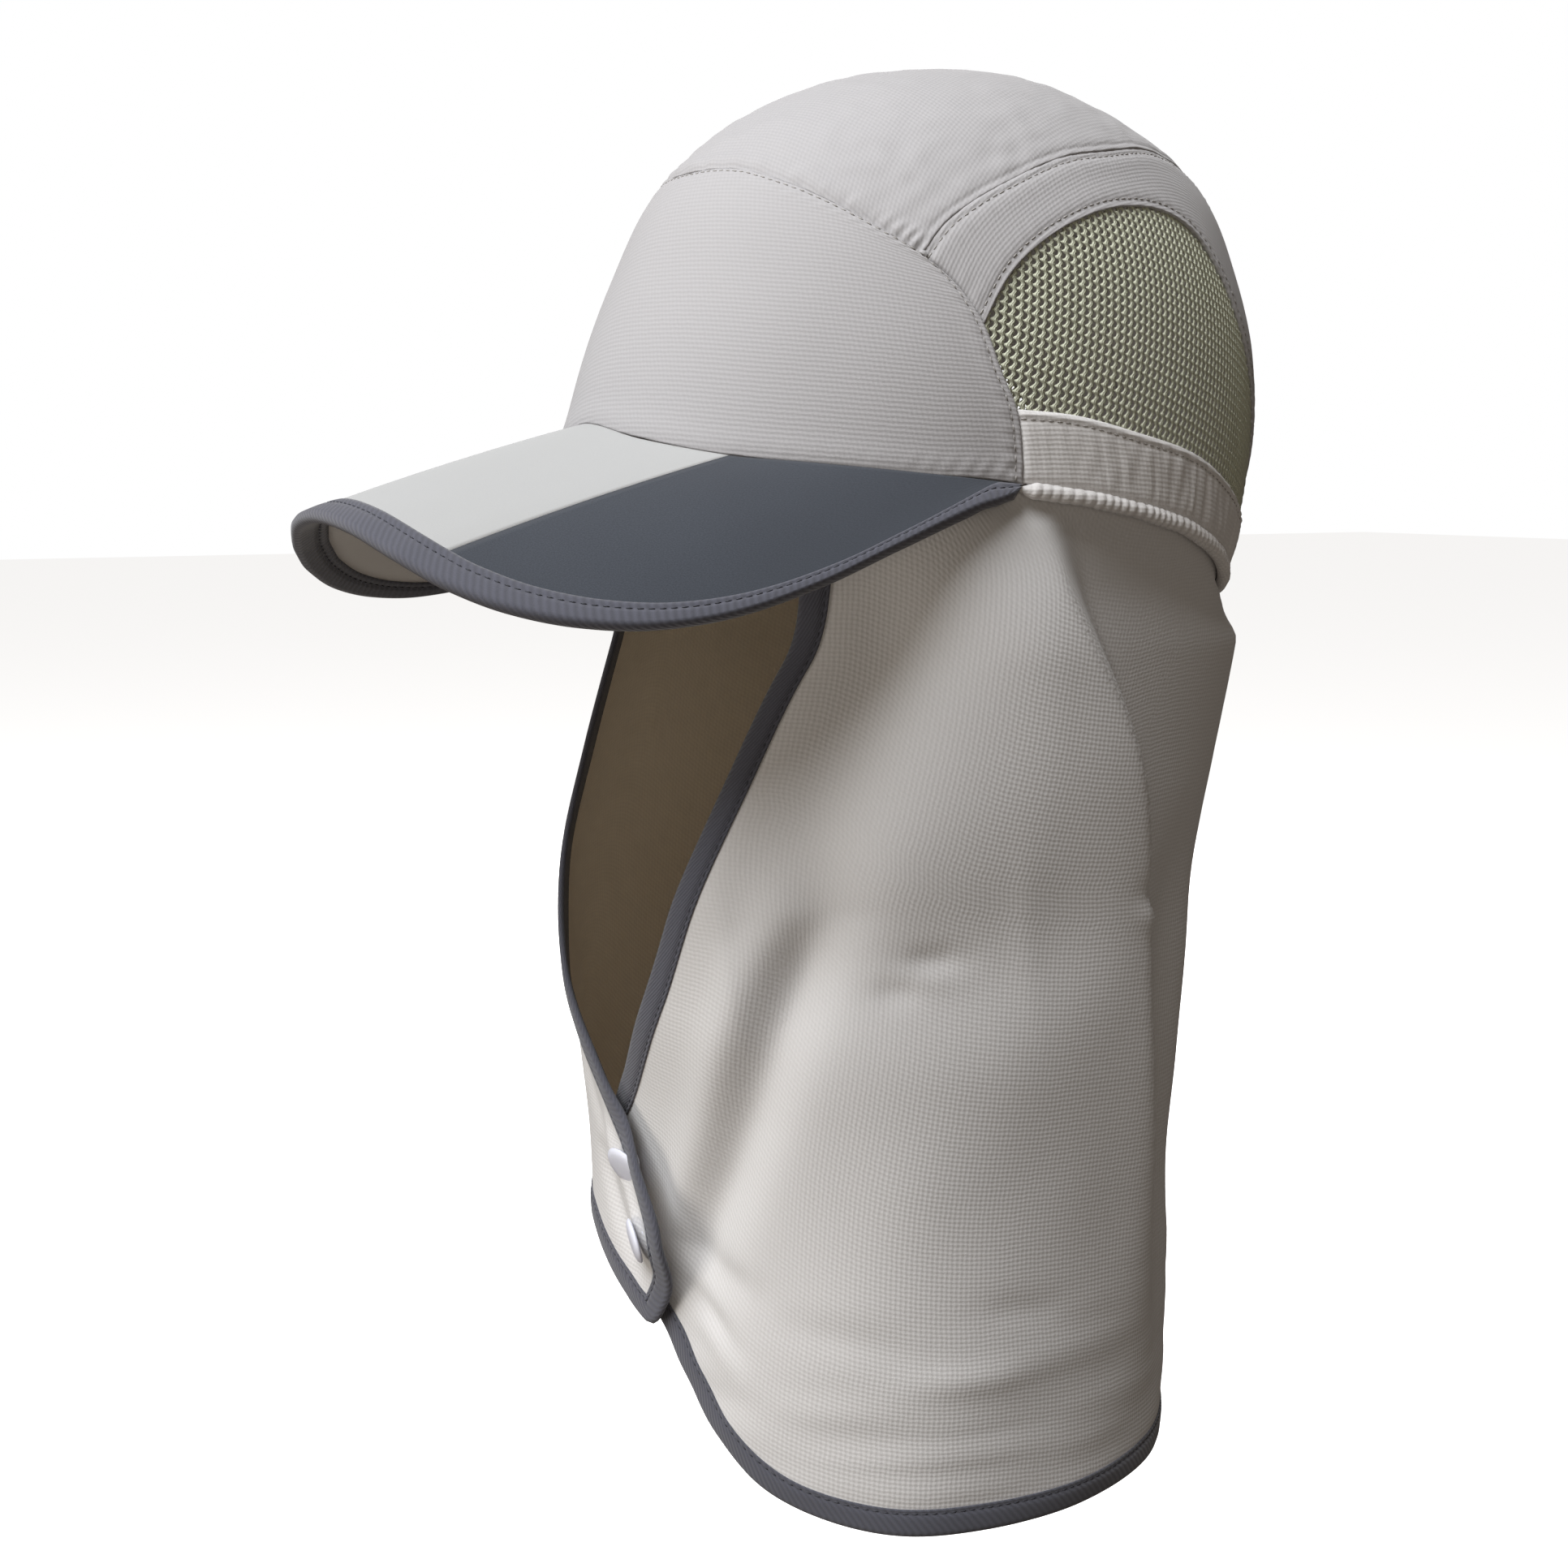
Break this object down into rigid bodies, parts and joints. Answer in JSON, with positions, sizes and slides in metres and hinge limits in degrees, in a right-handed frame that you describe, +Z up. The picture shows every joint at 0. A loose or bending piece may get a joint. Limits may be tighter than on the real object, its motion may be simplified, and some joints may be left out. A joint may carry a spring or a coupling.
{
  "type": "legionnaire cap",
  "caption": "Sun cap with a curved peak, mesh side vents and a long neck flap that wraps forward and closes under the chin with press snaps.",
  "frame": {"origin": "centre of the head opening, on the crown's rim where the cap sits round the head", "axes": "+Z up, front (peak) towards -Y, wearer's left towards +X"},
  "size_m": [0.1696, 0.2779, 0.386],
  "materials": {
    "crown_cloth": "pale grey plain-woven synthetic cloth",
    "flap_cloth": "pale grey basket-woven synthetic cloth",
    "peak_light_cloth": "off-white woven cloth",
    "peak_dark_cloth": "dark slate woven cloth",
    "binding_tape": "bluish grey twill tape",
    "vent_mesh": "olive grey knitted mesh",
    "snap_plastic": "white, slightly lavender plastic"
  },
  "bodies": {
    "root": {"front_panel": "crown_cloth", "top_panel": "crown_cloth", "rear_band": "crown_cloth", "rear_band_roll": "crown_cloth", "side_yoke_left": "crown_cloth", "side_yoke_right": "crown_cloth", "mesh_vent_left": "vent_mesh", "mesh_vent_right": "vent_mesh", "peak_cover_centre": "peak_light_cloth", "peak_underside": "peak_light_cloth", "peak_cover_left": "peak_dark_cloth", "peak_cover_right": "peak_dark_cloth", "peak_binding": "binding_tape", "flap_binding": "binding_tape", "neck_flap": "flap_cloth", "snap_upper_cap": "snap_plastic", "snap_upper_stud": "snap_plastic", "snap_upper_back": "snap_plastic", "snap_lower_cap": "snap_plastic", "snap_lower_stud": "snap_plastic", "snap_lower_back": "snap_plastic"}
  },
  "joints": []
}
